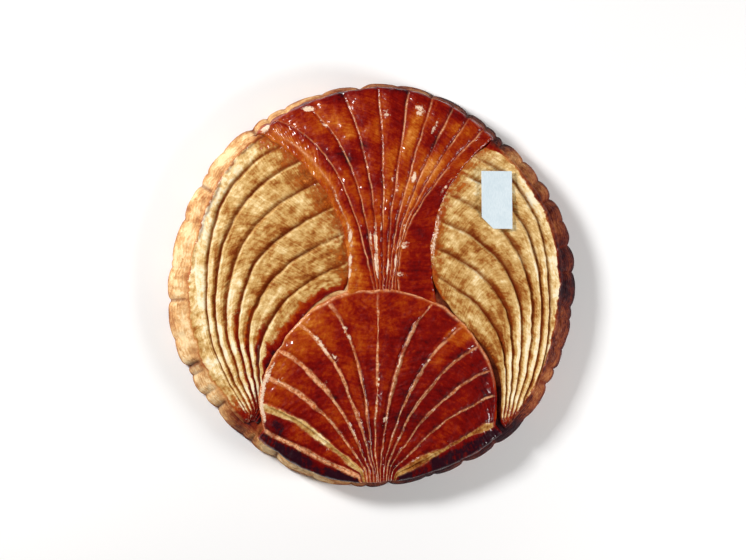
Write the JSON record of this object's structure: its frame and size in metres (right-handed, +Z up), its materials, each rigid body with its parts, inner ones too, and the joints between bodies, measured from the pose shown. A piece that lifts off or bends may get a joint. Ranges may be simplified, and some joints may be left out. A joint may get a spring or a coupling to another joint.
{
  "type": "galette des rois",
  "caption": "Round puff pastry king cake with a domed top scored into a fan, two gilded wings and a shell, a fluted side, and a small blank card lying on one wing.",
  "frame": {"origin": "centre of the pie's box on the surface that it stands on", "axes": "+Z up, +Y towards the fan at the top of the design, +X towards the wing that carries the card"},
  "size_m": [0.2786, 0.276, 0.0359],
  "materials": {
    "pastry": "egg-washed puff pastry: deep amber-brown glaze on the fan and the shell, rubbed gold on the wings, pale ochre to dark brown on the side",
    "card": "plain pale blue-white card, unprinted"
  },
  "bodies": {
    "root": {"galette": "pastry", "label_card": "card"}
  },
  "joints": []
}
